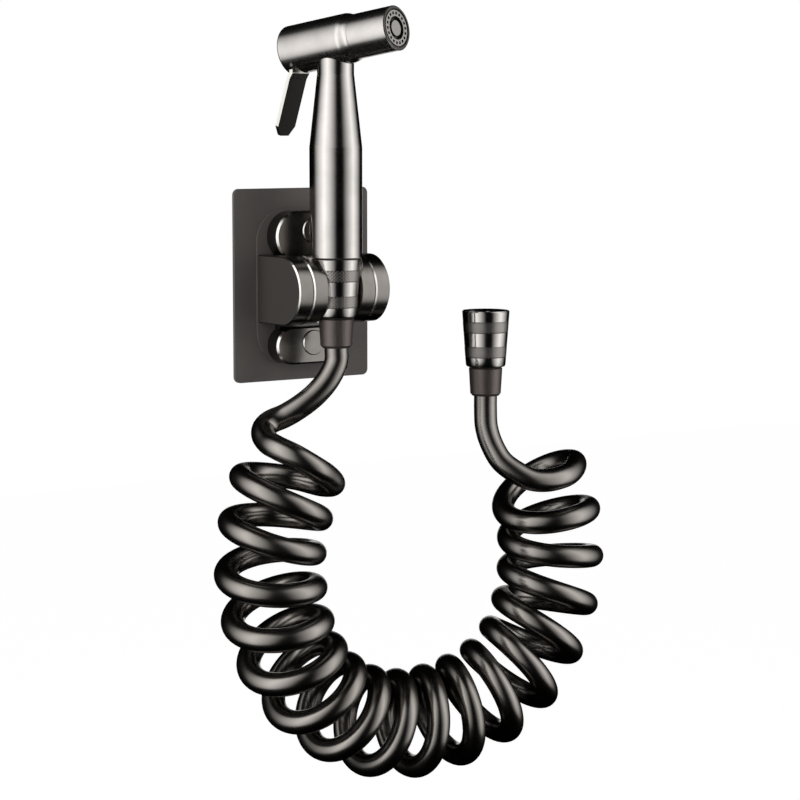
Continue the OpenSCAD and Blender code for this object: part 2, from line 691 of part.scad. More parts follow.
// The coil's outer shape: a fat tube that hangs in a U
module hose_coil() {
    color("#3a3736") union() {
        translate([u_centre.x, -hose_y, u_centre.y]) rotate([90, 0, 0]) rotate([0, 0, u_from])
            rotate_extrude(angle = u_turn) translate([u_radius, 0]) circle(d = coil_d);
        translate([arm_low.x, -hose_y, arm_low.y]) rotate([0, 180 - u_from, 0]) translate([0, 0, -cut])
            cylinder(d = coil_d - free, h = arm_l + cut);
    }
}

module hose_lead() {
    color("#3a3736") swept_tube(lead_route, hose_d, hose_sides, [0, 0, -1], [-lead_dir.x, 0, -lead_dir.y]);
}

adhesive_pad();
wall_plate();
bracket();
bracket_screws();
screw_caps();
pivot_pins();
cradle();
friction_washers();
handle_tube();
inlet_adapter();
barrel_body();
rear_cap();
nozzle_sleeve();
sleeve_ring();
spray_face();
face_plug();
valve_seat();
rod_gland();
gland_ring();
lever_pin();
handset_nut();
lever();
valve_rod();
valve_disc();
rod_cross_pin();
valve_spring();
hose_collar();
hose_insert();
hose_washer();
hose_tail();
hose_coil();
hose_lead();
supply_collar();
supply_insert();
supply_nut();
supply_washer();
supply_screen();
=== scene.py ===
"""Looks of a hand-held bath sprayer: trigger handset, wall holder and coiled hose.

Metres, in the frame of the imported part: +Z up, +Y into the wall, the origin on the wall face, level with
the pivot of the cradle. The camera and the hose come first, then the two nuts, the barrel, the finishes and
the light.
"""

import json
from math import cos, pi, radians, sin

import bmesh
import bpy
import numpy as np
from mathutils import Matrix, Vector


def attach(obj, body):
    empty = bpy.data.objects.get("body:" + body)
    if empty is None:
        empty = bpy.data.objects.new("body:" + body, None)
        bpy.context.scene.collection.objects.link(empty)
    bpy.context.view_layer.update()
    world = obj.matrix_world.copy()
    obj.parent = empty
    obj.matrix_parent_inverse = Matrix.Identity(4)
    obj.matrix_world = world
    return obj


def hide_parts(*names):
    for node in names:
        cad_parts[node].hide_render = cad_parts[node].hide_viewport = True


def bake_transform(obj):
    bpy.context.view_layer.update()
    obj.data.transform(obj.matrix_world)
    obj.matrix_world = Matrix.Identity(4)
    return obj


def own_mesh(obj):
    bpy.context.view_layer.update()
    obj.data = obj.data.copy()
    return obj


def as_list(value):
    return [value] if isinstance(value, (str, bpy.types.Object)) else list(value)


MM = 0.001
CREASE = radians(28)  # faces that meet at more than this show an edge

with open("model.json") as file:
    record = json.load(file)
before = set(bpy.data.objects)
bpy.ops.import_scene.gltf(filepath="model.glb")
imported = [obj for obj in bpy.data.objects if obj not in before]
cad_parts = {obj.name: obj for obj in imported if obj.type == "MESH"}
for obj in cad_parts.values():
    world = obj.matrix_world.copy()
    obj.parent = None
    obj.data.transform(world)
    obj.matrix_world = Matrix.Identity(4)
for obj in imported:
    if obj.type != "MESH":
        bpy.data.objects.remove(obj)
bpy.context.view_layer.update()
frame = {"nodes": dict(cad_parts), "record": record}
nodes = frame["nodes"]

# ---------------------------------------------------------------- camera

# These values aren't chosen by hand: a separate fitting program found them, and they are rounded here
VIEW_TURN = radians(-34.77)  # of the camera about the vertical, from straight in front of the wall
VIEW_LIFT = radians(6.54)  # above the horizontal
VIEW_DISTANCE = 1.2095
VIEW_TARGET = Vector((0.03994, -0.0280, -0.05544))
LENS_MM, SENSOR_MM = 111.74, 36


def placed(name, data):
    """A new object in the scene, at the origin."""
    made = bpy.data.objects.new(name, data)
    bpy.context.scene.collection.objects.link(made)
    return made


def heading(turn, lift):
    """Unit vector from the object: turn 0 is straight out from the wall, positive to the right."""
    return Vector((sin(turn) * cos(lift), -cos(turn) * cos(lift), sin(lift)))


def add_camera():
    data = bpy.data.cameras.new("product_camera")
    data.sensor_width = SENSOR_MM
    data.lens = LENS_MM
    camera = placed("product_camera", data)
    towards = heading(VIEW_TURN, VIEW_LIFT)
    camera.location = VIEW_TARGET + VIEW_DISTANCE * towards
    camera.rotation_euler = (-towards).to_track_quat("-Z", "Y").to_euler()
    bpy.context.scene.camera = camera


add_camera()

# ---------------------------------------------------------------- pieces worked out on a grid


def closed_skin(name, grid, finish, uv, normals=None):
    """A closed surface over a grid of points, rows x columns x 3, whose columns run once round it.

    Each row's last point joins its first. Where the first and the last row are the same ring the surface
    closes on itself, otherwise a flat face closes each end. uv gives each point's place on the surface.
    Without normals of its own the skin is smooth up to a crease.
    """
    ring_shut = np.allclose(grid[0], grid[-1])
    rows = grid[:-1] if ring_shut else grid
    count, sides = rows.shape[:2]
    spots = np.arange(count * sides).reshape(count, sides)
    lower = spots if ring_shut else spots[:-1]
    upper = np.roll(spots, -1, axis=0) if ring_shut else spots[1:]
    quads = np.stack([lower, np.roll(lower, -1, axis=1), np.roll(upper, -1, axis=1), upper], axis=2)
    faces = quads.reshape(-1, 4).tolist()
    if not ring_shut:
        faces += [spots[0, ::-1].tolist(), spots[-1].tolist()]
    mesh = bpy.data.meshes.new(name)
    mesh.from_pydata(rows.reshape(-1, 3).tolist(), [], faces)
    mesh.polygons.foreach_set("use_smooth", np.ones(len(faces), dtype=bool))
    corners = np.empty(len(mesh.loops), dtype=np.int32)
    mesh.loops.foreach_get("vertex_index", corners)
    layer = mesh.uv_layers.new(name="surface")
    layer.data.foreach_set("uv", uv.reshape(-1, 2)[corners].astype(np.float32).ravel())
    mesh.update()
    if normals is None:
        mesh.set_sharp_from_angle(angle=CREASE)
    else:
        mesh.normals_split_custom_set_from_vertices(normals.reshape(-1, 3).tolist())
    mesh.materials.append(finish)
    piece = placed(name, mesh)
    return piece


# ---------------------------------------------------------------- hose

HOSE_D = 0.0115
HOSE_Y = -0.0325
HOSE_SIDES = 32
RING_STEP = 0.0015

# The route's free points. The tail's first four and the lead's last two are chosen one by one. The 22 others
# and the coil's figures below them are not: a separate fitting program found them, and they are rounded
# here, so they can't be worked out from anything in this file.
# From the collar in the cradle to the coil's first turn
TAIL = MM * np.array([
    (0, -32.5, -27.3), (0, -32.5, -33.5), (-3.5, -32, -41), (-10, -30, -49), (-17, -27.2, -54.8),
    (-21.2, -24.9, -57.8), (-24.9, -22.7, -60), (-28, -21.4, -61.2), (-31, -21, -62.6), (-34, -21.9, -64.6),
    (-36, -24.2, -66.6), (-37.6, -31.2, -70), (-37.3, -38.6, -71.8), (-32.6, -46.3, -75.2),
    (-24.1, -49.6, -80.8), (-15.3, -46.9, -85.7), (-8.3, -42.1, -90.6), (-6.4, -30.5, -92.9),
    (-13.2, -16.8, -90.8),
])  # fmt: skip
# From the coil's last turn up to the collar of the supply nut
LEAD = MM * np.array([
    (122.3, -52.8, -96.9), (110.5, -52.2, -98.1), (103.6, -50, -97.1), (97.6, -46.2, -93.6),
    (91.9, -40.8, -87.6), (90, -37.4, -81.9), (88.5, -33.6, -72.2), (88.5, -32.5, -62), (88.5, -32.5, -55.8),
])  # fmt: skip
TAIL_END = 12  # point of the tail where its first piece ends

# The coil's axis hangs as a U: a straight arm, then an arc of 222 degrees
U_CENTRE = np.array([0.0473, HOSE_Y, -0.1372])
U_RADIUS = 0.0835
U_FROM = radians(165)
U_TURN = radians(222)
ARM = 0.0445
COIL_LENGTH = ARM + U_RADIUS * U_TURN
COIL_RADIUS = 0.0207
FIRST_TURN = 0.78
LAST_TURN = 17.08
POINTS_A_TURN = 16
AXIS_STEPS = 1200

# Where the hanging coil departs from an even one, in metres along its axis: the middle of the place, its
# width, and how far the axis stands out from the U there
BOW_AT, BOW_WIDE, BOW_OUT = 0.037, 0.030, 0.0035
PINCH_AT, PINCH_WIDE, PINCH_OUT = 0.130, 0.045, 0.0011  # inwards
BELLY_AT, BELLY_WIDE, BELLY_OUT = 0.215, 0.075, 0.0057  # inwards, at the bottom of the U
SAG_AT, SAG_WIDE, SAG_OUT = 0.2665, 0.040, 0.0038
RISE_AT, RISE_WIDE, RISE_OUT = 0.31, 0.03, 0.0006  # inwards, from here on to the end
WIDER = 0.00075  # radius that the turns gain at the bottom, and on the way up to the lead
LEAN, BELLY_LEAN = 0.054, 0.069  # of the turns along the axis, and how much less at the bottom
FORWARD, BELLY_FORWARD = np.array([0, -1, -0.048]), 0.21
PITCH, PITCH_SLOPE = 0.0210, 0.0015  # of the turns, and how much it shrinks from end to end
WIDE_PITCH, WIDE_PITCH_AT, WIDE_PITCH_WIDE = 0.0027, 0.197, 0.058
START_TURN, START_LAG, START_WIDE = 0.214, 0.309, 0.06  # the first turns come later than the pitch says


def hump(s, middle, width):
    """Bell curve of height 1 about the middle."""
    return np.exp(-(((s - middle) / width) ** 2))


def coil_axis(s):
    """Centre of the coil s metres along it, the outward and forward directions there, and its radius.

    The centre follows the U, pulled in or out by a few millimetres where the coil sags or bulges. Outward
    points away from the U's centre and forward out of the U's plane, both leaning a little along the axis,
    as the turns of a hanging coil do.
    """
    angle = U_FROM + np.maximum(s - ARM, 0) / U_RADIUS
    outward = np.stack([np.cos(angle), 0 * angle, np.sin(angle)], axis=1)
    along = np.stack([-np.sin(angle), 0 * angle, np.cos(angle)], axis=1)
    bow = BOW_OUT * hump(s, BOW_AT, BOW_WIDE)
    belly = hump(s, BELLY_AT, BELLY_WIDE)
    sag = hump(s, SAG_AT, SAG_WIDE)
    pinch = hump(s, PINCH_AT, PINCH_WIDE)
    rise = 0.5 + 0.5 * np.tanh((s - RISE_AT) / RISE_WIDE)
    stand_out = bow - BELLY_OUT * belly + SAG_OUT * sag - PINCH_OUT * pinch - RISE_OUT * rise
    centre = U_CENTRE + (U_RADIUS + stand_out)[:, None] * outward + np.minimum(s - ARM, 0)[:, None] * along
    lean = 2 * (s - BOW_AT) / BOW_WIDE**2 * bow + LEAN - BELLY_LEAN * belly
    forward = FORWARD - (BELLY_FORWARD * belly)[:, None] * along
    forward /= np.linalg.norm(forward, axis=1)[:, None]
    return centre, outward + lean[:, None] * along, forward, COIL_RADIUS + WIDER * (belly + rise)


def coil_points(turns):
    """Points of the helix at the given turns, and their directions from the axis.

    A turn takes 21 mm of the axis, up to 24 mm at the bottom of the U; adding up 1/pitch gives the turns.
    """
    s = np.linspace(0, COIL_LENGTH, AXIS_STEPS)
    pitch = PITCH + WIDE_PITCH * hump(s, WIDE_PITCH_AT, WIDE_PITCH_WIDE)
    pitch = pitch - PITCH_SLOPE * (s / COIL_LENGTH - 0.5)
    passed = np.concatenate([[0], np.cumsum(2 / (pitch[1:] + pitch[:-1]) * np.diff(s))])
    passed = passed + START_TURN - START_LAG * hump(s, 0, START_WIDE)
    centre, outward, forward, radius = coil_axis(np.interp(turns, passed, s))
    phase = 2 * pi * turns[:, None]
    arm = radius[:, None] * (np.cos(phase) * outward + np.sin(phase) * forward)
    return centre + arm, arm


def off_axis(points, end):
    """Directions from the coil's axis, drawn on straight past its end, to the free points."""
    near = coil_axis(np.array([end, end + MM]))[0]
    axis = (near[1] - near[0]) / np.linalg.norm(near[1] - near[0])
    arm = points - near[0]
    return arm - (arm @ axis)[:, None] * axis


def smooth_line(points, step):
    """Cubic curve through the points, in rows as near to the step as fits.

    Its slope at a point is the mean of the slopes to the two neighbours, each weighed by the other's
    distance. Columns after the first three are carried along.
    """
    gap = np.linalg.norm(np.diff(points[:, :3], axis=0), axis=1)
    at = np.concatenate([[0], np.cumsum(gap)])
    slope = np.diff(points, axis=0) / gap[:, None]
    weight = (gap[1:] / (gap[1:] + gap[:-1]))[:, None]
    tangent = np.concatenate([slope[:1], slope[:-1] * weight + slope[1:] * (1 - weight), slope[-1:]])
    place = np.linspace(0, at[-1], int(at[-1] / step) + 1)
    i = np.clip(np.searchsorted(at, place, side="right") - 1, 0, len(gap) - 1)
    u = ((place - at[i]) / gap[i])[:, None]
    reach = gap[i][:, None]
    return (
        (2 * u**3 - 3 * u**2 + 1) * points[i]
        + (u**3 - 2 * u**2 + u) * reach * tangent[i]
        + (3 * u**2 - 2 * u**3) * points[i + 1]
        + (u**3 - u**2) * reach * tangent[i + 1]
    )


def hose_rings():
    """The hose's rings: centres, distances along it, points round each ring and their outward normals.

    A ring lies across the centre line. Its points are counted from the direction that leads away from the
    coil's axis, so that the surface doesn't twist.
    """
    turns = np.arange(FIRST_TURN, LAST_TURN, 1 / POINTS_A_TURN)
    coil, coil_arm = coil_points(turns)
    route = np.concatenate([TAIL, coil, LEAD])
    arms = np.concatenate([off_axis(TAIL, 0), coil_arm, off_axis(LEAD, COIL_LENGTH)])
    line = smooth_line(np.concatenate([route, arms], axis=1), RING_STEP)
    centres = line[:, :3]
    along = np.gradient(centres, axis=0)
    along /= np.linalg.norm(along, axis=1)[:, None]
    away = line[:, 3:] - (line[:, 3:] * along).sum(axis=1)[:, None] * along
    away /= np.linalg.norm(away, axis=1)[:, None]
    beside = np.cross(along, away)
    angle = np.linspace(0, 2 * pi, HOSE_SIDES, endpoint=False)[None, :, None]
    normals = np.cos(angle) * away[:, None] + np.sin(angle) * beside[:, None]
    gone = np.concatenate([[0], np.cumsum(np.linalg.norm(np.diff(centres, axis=0), axis=1))])
    return centres, gone, centres[:, None] + HOSE_D / 2 * normals, normals


def hose_piece(name, first, last, finish):
    """The stretch of hose between two rings; its UV is round the hose and along it, in metres."""
    part = slice(first, last + 1)
    round_it = np.linspace(0, pi * HOSE_D, HOSE_SIDES, endpoint=False)
    uv = np.stack(np.broadcast_arrays(round_it[None, :], HOSE_GONE[part, None]), axis=2)
    piece = closed_skin(name, HOSE_GRID[part], finish, uv, HOSE_NORMALS[part])
    return piece, HOSE_CENTRES[part]


HOSE_CENTRES, HOSE_GONE, HOSE_GRID, HOSE_NORMALS = hose_rings()
FIRST_TURNS_END = np.array([2.75])  # turn of the coil where the first turns end


def ring_near(point):
    return int(np.argmin(np.linalg.norm(HOSE_CENTRES - point, axis=1)))


def build_hose(finish):
    """Three stretches in one line, each with its centre line.

    They are the tail from the handset's collar, the first turns of the coil and the hanging coil with the
    lead up to the supply nut. The first two stay where they lie; the last rides on the wall holder.
    """
    tail_ring = ring_near(TAIL[TAIL_END])
    coil_ring = ring_near(coil_points(FIRST_TURNS_END)[0][0])
    tail, tail_line = hose_piece("hose_tail_stretch", 0, tail_ring, finish)
    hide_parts("hose_tail")
    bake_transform(tail)
    turns, turns_line = hose_piece("hose_first_turns", tail_ring, coil_ring, finish)
    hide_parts("hose_coil")
    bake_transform(turns)
    hanging, hanging_line = hose_piece("hose_hanging_coil", coil_ring, len(HOSE_CENTRES) - 1, finish)
    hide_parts("hose_coil", "hose_lead")
    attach(hanging, "wall_holder")
    return (tail, tail_line), (turns, turns_line), (hanging, hanging_line)


# ---------------------------------------------------------------- nuts

NUT_H = 0.028
NUT_TOP_R = 0.0118
NUT_LOW_R = 0.0098
BANDS = ((0.18, 0.37), (0.62, 0.81))  # knurled bands, as shares of the nut's height
BAND_ROWS = 34
BAND_EDGE, BAND_EDGE_DEEP = 0.0002, 0.00022  # height and depth of the groove that borders a band
BAND_PROUD = 0.00006  # of the diamonds' tips over the plain wall
BAND_MARGIN = 0.01  # between a band's border and its first diamonds, as a share of the height
PLAIN_FROM, PLAIN_TO = 0.04, 0.98  # of the straight outside, as shares of the height
FOOT_BEVEL, FOOT_ROUND, FOOT_RISE, LIP_ROUND = 0.0011, 0.0003, 0.0004, 0.00035
THREAD_R = 0.01045  # at the foot of the ridges
THREAD_FROM = 0.0182  # height of its lower end
THREAD_PITCH = 0.001814  # 14 threads to the inch
THREAD_DEEP = 0.0007
THREAD_LEAD_IN = 0.0008  # the bevel at its mouth
RIDGE_FROM, RIDGE_RISE = 0.0003, 0.001  # below the nut's top: where the ridges start, and grow to full height
THREAD_RELIEF = 0.0002
THREAD_ROWS = 38
SEAL_R, SHOULDER = 0.0101, 0.014  # the seat of the washer: its radius, and its height in the nut
NECK_R = 0.0065  # of the hole that the insert turns in
DIAMONDS = 44  # round a band, about 1.5 mm each: a real knurl of 1 mm would not show
KNURL_DEPTH = 0.00018
NUT_COLUMNS = 480
HUNG_NUT_AT = (0, HOSE_Y, -0.013)
SUPPLY_NUT_AT = (0.0885, HOSE_Y, -0.0415)


def fold(x):
    """Triangle wave: 0 at whole numbers, 1 halfway between them."""
    return 1 - np.abs(2 * (x - np.floor(x)) - 1)


def nut_grid(threaded):
    """A nut standing on z = 0, its profile turned about +Z, as rows x columns x 3.

    The profile runs up the tapered outside, over the top edge, down the bore, across the shoulder and back.
    In a knurled band two sets of grooves cross at 45 degrees: the surface drops by the depth times the
    deeper of two triangle waves, one in angle plus height and one in angle minus height. The thread's
    ridges are a triangle wave in height less angle. Also gives each point's UV: metres round the nut and up
    it, with -1 for up inside the bore.
    """
    def wall(share):
        return NUT_LOW_R + (NUT_TOP_R - NUT_LOW_R) * share

    profile = [(NECK_R, 0), (NUT_LOW_R - FOOT_BEVEL, 0), (NUT_LOW_R - FOOT_ROUND, FOOT_RISE)]
    profile += [(wall(PLAIN_FROM), PLAIN_FROM * NUT_H)]
    knurled = []
    for low, high in BANDS:
        profile += [(wall(low), low * NUT_H - BAND_EDGE), (wall(low) - BAND_EDGE_DEEP, low * NUT_H)]
        for share in np.linspace(low + BAND_MARGIN, high - BAND_MARGIN, BAND_ROWS):
            knurled.append(len(profile))
            profile.append((wall(share) + BAND_PROUD, share * NUT_H))
        profile += [(wall(high) - BAND_EDGE_DEEP, high * NUT_H), (wall(high), high * NUT_H + BAND_EDGE)]
    profile += [(wall(PLAIN_TO), PLAIN_TO * NUT_H), (NUT_TOP_R - LIP_ROUND, NUT_H)]
    profile += [(THREAD_R + THREAD_LEAD_IN, NUT_H)]
    first_thread = len(profile)
    profile += [(THREAD_R, z) for z in np.linspace(NUT_H - THREAD_LEAD_IN, THREAD_FROM, THREAD_ROWS)]
    last_thread = len(profile)
    profile += [(SEAL_R, THREAD_FROM - THREAD_RELIEF), (SEAL_R, SHOULDER), (NECK_R, SHOULDER), (NECK_R, 0)]
    profile = np.array(profile)
    angle = np.linspace(0, 2 * pi, NUT_COLUMNS, endpoint=False)[None, :]
    radius = np.repeat(profile[:, :1], NUT_COLUMNS, axis=1)
    height = np.repeat(profile[:, 1:], NUT_COLUMNS, axis=1)
    share_round = angle * DIAMONDS / (2 * pi)
    climb = height[knurled] * DIAMONDS / (2 * pi * (NUT_TOP_R + NUT_LOW_R) / 2)
    radius[knurled] -= KNURL_DEPTH * np.maximum(fold(share_round + climb), fold(share_round - climb))
    if threaded:
        part = slice(first_thread, last_thread)
        ridge = fold(height[part] / THREAD_PITCH - angle / (2 * pi))
        run_out = np.clip((NUT_H - RIDGE_FROM - height[part]) / RIDGE_RISE, 0, 1)
        radius[part] -= THREAD_DEEP * ridge * run_out
    points = np.stack([radius * np.cos(angle), radius * np.sin(angle), height], axis=2)
    up = np.where(np.arange(len(profile)) < first_thread, profile[:, 1], -1.0)
    uv = np.stack(np.broadcast_arrays(angle * NUT_TOP_R, up[:, None]), axis=2)
    return points, uv


def build_nuts(finish):
    """The nut on the handset's inlet and the one at the hose's supply end. Gives the second."""
    points, uv = nut_grid(threaded=False)
    hung = closed_skin("hung_nut", points + HUNG_NUT_AT, finish, uv[:-1])
    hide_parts("handset_nut")
    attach(hung, "handset")
    points, uv = nut_grid(threaded=True)
    supply = closed_skin("supply_thread_nut", points + SUPPLY_NUT_AT, finish, uv[:-1])
    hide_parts("supply_nut")
    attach(supply, "supply_nut")
    return supply


# ---------------------------------------------------------------- barrel

YAW, TILT = radians(20.5), radians(9)
BARREL_CENTRE = (0, HOSE_Y, 0.1168)
BARREL_FORWARD = (sin(YAW) * cos(TILT), -cos(YAW) * cos(TILT), sin(TILT))
BARREL_UP = (-sin(YAW) * sin(TILT), cos(YAW) * sin(TILT), cos(TILT))
REAR_R, FRONT_R = 0.01175, 0.0105
STEP_FROM, STEP_TO = 0.0075, 0.0140  # the cone between its two diameters, ahead of its centre
STEP_CUTS = 13
ON_CONE = 0.00008  # a point this near the cone belongs to it
CONE_ENDS = 0.01  # share of the step at each end that stays as it is
MERGED = 1e-6
ON_CUT = 1e-7


def build_valve_housing():
    """The barrel's rear part with its step rounded over.

    A copy of the CAD mesh, cut across between the ends of the cone, with the cone's points moved in or out:
    at share t of the step the radius has dropped by t - sin(2 pi t) / (2 pi) of the whole drop.
    """
    mesh = nodes["barrel_body"].data.copy()
    mesh.name = "valve_housing"
    work = bmesh.new()
    work.from_mesh(mesh)
    bmesh.ops.remove_doubles(work, verts=work.verts, dist=MERGED)
    centre, forward = np.array(BARREL_CENTRE), np.array(BARREL_FORWARD)
    for reach in np.linspace(STEP_FROM, STEP_TO, STEP_CUTS + 2)[1:-1]:
        everything = work.verts[:] + work.edges[:] + work.faces[:]
        spot = centre + reach * forward
        bmesh.ops.bisect_plane(work, geom=everything, dist=ON_CUT, plane_co=spot, plane_no=forward)
    work.to_mesh(mesh)
    work.free()
    points = np.empty(3 * len(mesh.vertices))
    mesh.vertices.foreach_get("co", points)
    from_centre = points.reshape(-1, 3) - centre
    reach = from_centre @ forward
    arm = from_centre - reach[:, None] * forward
    radius = np.linalg.norm(arm, axis=1)
    share = np.clip((reach - STEP_FROM) / (STEP_TO - STEP_FROM), 0, 1)
    drop = REAR_R - FRONT_R
    on_cone = np.abs(radius - REAR_R + drop * share) < ON_CONE
    on_cone &= (share > CONE_ENDS) & (share < 1 - CONE_ENDS)
    wanted = np.where(on_cone, REAR_R - drop * (share - np.sin(2 * pi * share) / (2 * pi)), radius)
    moved = centre + reach[:, None] * forward + arm * (wanted / np.maximum(radius, 1e-9))[:, None]
    mesh.vertices.foreach_set("co", moved.ravel())
    mesh.polygons.foreach_set("use_smooth", np.ones(len(mesh.polygons), dtype=bool))
    mesh.update()
    mesh.set_sharp_from_angle(angle=CREASE)
    housing = placed("valve_housing", mesh)
    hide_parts("barrel_body")
    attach(housing, "handset")


def build_return_spring():
    """A copy of the valve's spring, on the handset and at rest; in the valve it shortens towards the gland as
    the lever draws the rod's head back.
    """
    spring = placed("return_spring", nodes["valve_spring"].data.copy())
    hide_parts("valve_spring")
    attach(spring, "handset")
    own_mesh(spring)


# ---------------------------------------------------------------- finishes

NOISE_LOW, NOISE_HIGH = 0.3, 0.7  # between which a noise texture mostly stays
# the sleeve's front edge gets a painted highlight and the flat rim past it gets painted shade
SLEEVE_EDGE, SLEEVE_EDGE_HALF = 0.03526, 0.0002  # the rounded front edge, ahead of the barrel's centre
SLEEVE_RIM = 0.03547  # the flat rim is past this
FACE_FRONT, PLUG_FRONT = 0.0353, 0.0351
# painted shade, near-black, on what lies behind a disc's front
SUNK = 0.00012  # what lies this far behind a disc's front belongs to its holes
FLAT_CHEEK = 0.985  # sideways part of a cheek's normal, at least
CHEEK_X = 0.0245
# the bevels and the cradle's socket get a painted highlight
ON_BEVEL = 0.3  # X times Y part of a bevel's normal, at least
SOCKET_R = 0.0165
PIVOT_Y = -0.0245
DISC_INNER_R = 0.0160
BARREL_TURN = (TILT, 0, -YAW)
LEVER_SIDE = (cos(YAW), sin(YAW), 0)  # across the lever, along its pin
# the lever's sheared edges and the outside of its bend get a painted highlight
ON_SHEARED_EDGE = 0.6  # sideways part of a sheared edge's normal, at least
LEVER_BEND = -0.0136  # the lever's bend is above this, counted up from the barrel's centre


def srgb(code):
    """Linear RGBA of an sRGB hex colour."""
    part = np.array([int(code[i : i + 2], 16) / 255 for i in (1, 3, 5)])
    linear = np.where(part <= 0.04045, part / 12.92, ((part + 0.055) / 1.055) ** 2.4)
    return (*linear, 1.0)


def add(tree, kind, inputs=None, **settings):
    """Adds a node, sets its properties, and feeds each named input a value or another node's output."""
    made = tree.nodes.new("ShaderNode" + kind)
    for name, value in settings.items():
        setattr(made, name, value)
    for name, value in (inputs or {}).items():
        if isinstance(value, bpy.types.NodeSocket):
            tree.links.new(value, made.inputs[name])
        else:
            made.inputs[name].default_value = value
    return made


def maths(tree, operation, *values):
    """What a Math node makes of values or other nodes' outputs."""
    return add(tree, "Math", dict(enumerate(values)), operation=operation).outputs[0]


def mixed(tree, share, colour, other):
    """From one colour at share 0 to the other at share 1."""
    return add(tree, "MixRGB", {"Fac": share, "Color1": colour, "Color2": other}).outputs[0]


def plain_material(name, surface):
    """A material whose surface(tree) gives the shader."""
    made = bpy.data.materials.new(name)
    made.use_nodes = True
    made.node_tree.nodes.clear()
    add(made.node_tree, "OutputMaterial", {"Surface": surface(made.node_tree)})
    return made


def finish_called(name, surface):
    """A material whose surface(tree, place) gives the shader; place is the point in the part's frame."""
    return plain_material(name, lambda tree: surface(tree, add(tree, "TexCoord").outputs["Object"]))


def grain(tree, place, size, stretch=(1, 1, 1), turn=(0, 0, 0), detail=3.0):
    """Noise whose grains are about size metres across, drawn out along the axes that stretch names."""
    scale = [1 / (size * s) for s in stretch]
    moved = add(tree, "Mapping", {"Vector": place, "Rotation": turn, "Scale": scale})
    return add(tree, "TexNoise", {"Vector": moved.outputs[0], "Scale": 1.0, "Detail": detail}).outputs["Fac"]


def spread(tree, value, low, high):
    """A noise taken to low to high."""
    return add(tree, "MapRange", {
        "Value": value, "From Min": NOISE_LOW, "From Max": NOISE_HIGH, "To Min": low, "To Max": high,
    }).outputs[0]  # fmt: skip


def tint(tree, value, dark, light):
    """A colour between two, by a noise."""
    made = add(tree, "ValToRGB", {"Fac": value})
    for stop, share, code in zip(made.color_ramp.elements, (NOISE_LOW, NOISE_HIGH), (dark, light)):
        stop.position, stop.color = share, srgb(code)
    return made.outputs["Color"]


def bumped(tree, height, rise):
    """Normals of a relief that is rise metres high."""
    return add(tree, "Bump", {"Height": height, "Strength": 1.0, "Distance": rise}).outputs[0]


def polished_gunmetal(tree, place):
    # Gunmetal colour, vacuum coated on polished brass: a dark mirror, a little hazy where hands have touched
    smear = grain(tree, place, 0.012)
    lines = grain(tree, place, 0.0004, stretch=(8, 8, 1))
    return add(tree, "BsdfPrincipled", {
        "Base Color": tint(tree, smear, "#9f9c98", "#aca8a5"),
        "Metallic": 1.0,
        "Roughness": spread(tree, smear, 0.14, 0.19),
        "Normal": bumped(tree, lines, 0.0000015),
    }).outputs[0]  # fmt: skip


def knurled_gunmetal(tree, place):
    # The polished coating, with the two rolled bands of diamonds as the knurling wheel leaves them: duller
    up = add(tree, "SeparateXYZ", {0: add(tree, "UVMap", uv_map="surface").outputs[0]}).outputs["Y"]
    lower, upper = (
        maths(tree, "COMPARE", up, NUT_H * (low + high) / 2, NUT_H * (high - low) / 2) for low, high in BANDS
    )
    band = maths(tree, "MAXIMUM", lower, upper)
    smear = grain(tree, place, 0.012)
    return add(tree, "BsdfPrincipled", {
        "Base Color": mixed(tree, band, tint(tree, smear, "#9f9c98", "#aca8a5"), srgb("#827e7b")),
        "Metallic": 1.0,
        "Roughness": maths(tree, "MULTIPLY_ADD", band, 0.04, spread(tree, smear, 0.14, 0.19)),
    }).outputs[0]  # fmt: skip


def share_along(tree, vector, axis):
    """Part of a vector along an axis."""
    return add(tree, "VectorMath", {0: vector, 1: axis}, operation="DOT_PRODUCT").outputs["Value"]


def from_barrel(tree, place):
    """The place counted from the barrel's centre."""
    return add(tree, "VectorMath", {0: place, 1: BARREL_CENTRE}, operation="SUBTRACT").outputs[0]


def drilled_disc(front):
    def surface(tree, place):
        # Satin coating on the flat front; the walls of holes and recesses are bare, with painted shade:
        # near-black and matt, as in shadow
        reach = share_along(tree, from_barrel(tree, place), BARREL_FORWARD)
        painted_hole_shade = maths(tree, "LESS_THAN", reach, front - SUNK)
        lines = grain(tree, place, 0.0004)
        return add(tree, "BsdfPrincipled", {
            "Base Color": mixed(tree, painted_hole_shade, tint(tree, lines, "#94908d", "#a09d99"), srgb("#141312")),
            "Metallic": maths(tree, "SUBTRACT", 1.0, painted_hole_shade),
            "Roughness": spread(tree, lines, 0.30, 0.38),
            "Normal": bumped(tree, lines, 0.000002),
        }).outputs[0]  # fmt: skip

    return surface


def satin_gunmetal(tree, place):
    # The same coating on brass brushed round its axis: highlights spread across the brush lines
    smear = grain(tree, place, 0.010)
    lines = grain(tree, place, 0.0003, stretch=(14, 1, 14), turn=BARREL_TURN)
    # Painted highlight, near-white, on the sleeve's front edge, and painted shade on the flat rim inside the
    # edge
    reach = share_along(tree, from_barrel(tree, place), BARREL_FORWARD)
    painted_edge_highlight = maths(tree, "COMPARE", reach, SLEEVE_EDGE, SLEEVE_EDGE_HALF)
    painted_rim_shade = maths(tree, "GREATER_THAN", reach, SLEEVE_RIM)
    edge_highlight_colour = mixed(tree, painted_edge_highlight, tint(tree, smear, "#a6a39f", "#b2aeab"), srgb("#e7e7e7"))
    return add(tree, "BsdfPrincipled", {
        "Base Color": mixed(tree, painted_rim_shade, edge_highlight_colour, srgb("#514e4a")),
        "Metallic": 1.0,
        "Roughness": spread(tree, lines, 0.21, 0.27),
        "Normal": bumped(tree, lines, 0.000001),
    }).outputs[0]  # fmt: skip


